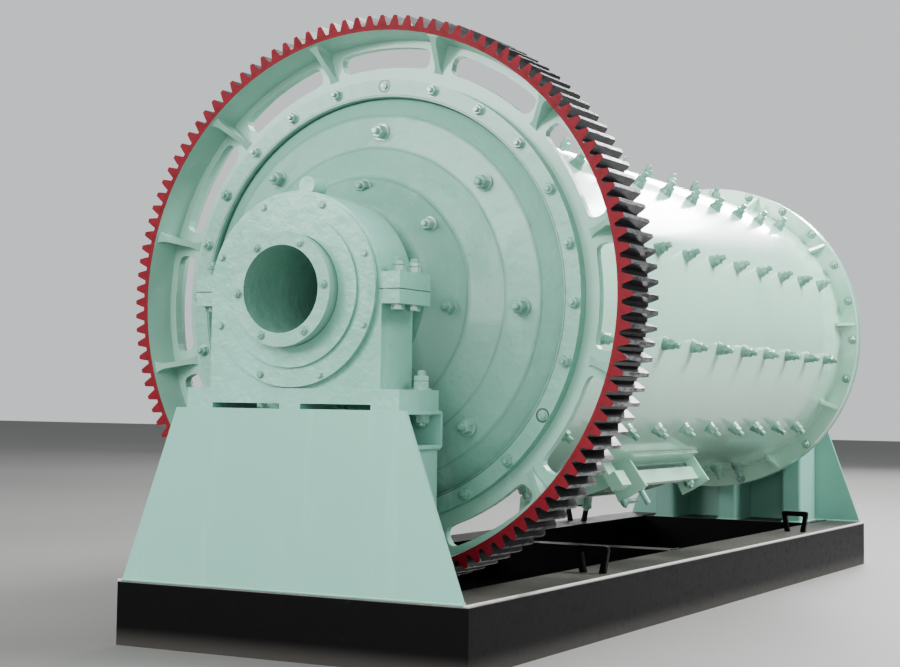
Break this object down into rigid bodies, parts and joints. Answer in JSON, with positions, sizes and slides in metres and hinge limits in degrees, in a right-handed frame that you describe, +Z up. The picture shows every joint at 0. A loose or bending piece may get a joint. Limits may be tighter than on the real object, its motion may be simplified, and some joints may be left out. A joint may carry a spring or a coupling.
{
  "type": "ball mill",
  "caption": "Grinding drum with a girth gear and conical heads, turning on hollow journals in two pedestal bearings on one steel base frame.",
  "frame": {"origin": "ground level under the middle of the base frame", "axes": "+X along the drum from the gear end to the far end, +Z up, +Y to the mill's left seen from the gear end"},
  "size_m": [4.06, 1.708, 1.874],
  "materials": {
    "base_paint": "black semi-gloss paint over rolled steel",
    "pedestal_paint": "pale green gloss paint on welded plate",
    "bearing_paint": "pale green gloss paint on castings",
    "bush_bronze": "machined bronze",
    "drum_paint": "pale green gloss paint on rolled plate",
    "head_paint": "pale green gloss paint on castings",
    "liner_steel": "cast liner plates, dull grey brown",
    "gear_steel": "dark cut teeth, green web and a red painted rim face"
  },
  "bodies": {
    "stand": {"left_rail": "base_paint", "right_rail": "base_paint", "front_beam": "base_paint", "middle_beam": "base_paint", "rear_beam": "base_paint", "lifting_loops": "base_paint", "front_end_plate": "pedestal_paint", "front_left_leg": "pedestal_paint", "front_middle_leg": "pedestal_paint", "front_right_leg": "pedestal_paint", "front_channel": "pedestal_paint", "front_bearing_base": "bearing_paint", "front_bearing_cap": "bearing_paint", "front_seal_cover": "bearing_paint", "front_bush": "bush_bronze", "rear_end_plate": "pedestal_paint", "rear_left_leg": "pedestal_paint", "rear_middle_leg": "pedestal_paint", "rear_right_leg": "pedestal_paint", "rear_channel": "pedestal_paint", "rear_bearing_base": "bearing_paint", "rear_bearing_cap": "bearing_paint", "rear_seal_cover": "bearing_paint", "rear_bush": "bush_bronze"},
    "drum": {"drum_shell": "drum_paint", "front_shell_flange": "drum_paint", "rear_shell_flange": "drum_paint", "front_head": "head_paint", "rear_head": "head_paint", "feed_tube": "head_paint", "discharge_tube": "head_paint", "girth_gear": "gear_steel", "hatch_neck": "drum_paint", "hatch_cover": "drum_paint", "latch_block": "drum_paint", "shell_liner": "liner_steel", "front_head_liner": "liner_steel", "rear_head_liner": "liner_steel"}
  },
  "joints": [
    {"name": "drum_spin", "type": "hinge", "parent": "stand", "child": "drum", "pos_m": [0, 0, 1.02], "axis": [1, 0, 0], "continuous": true}
  ]
}
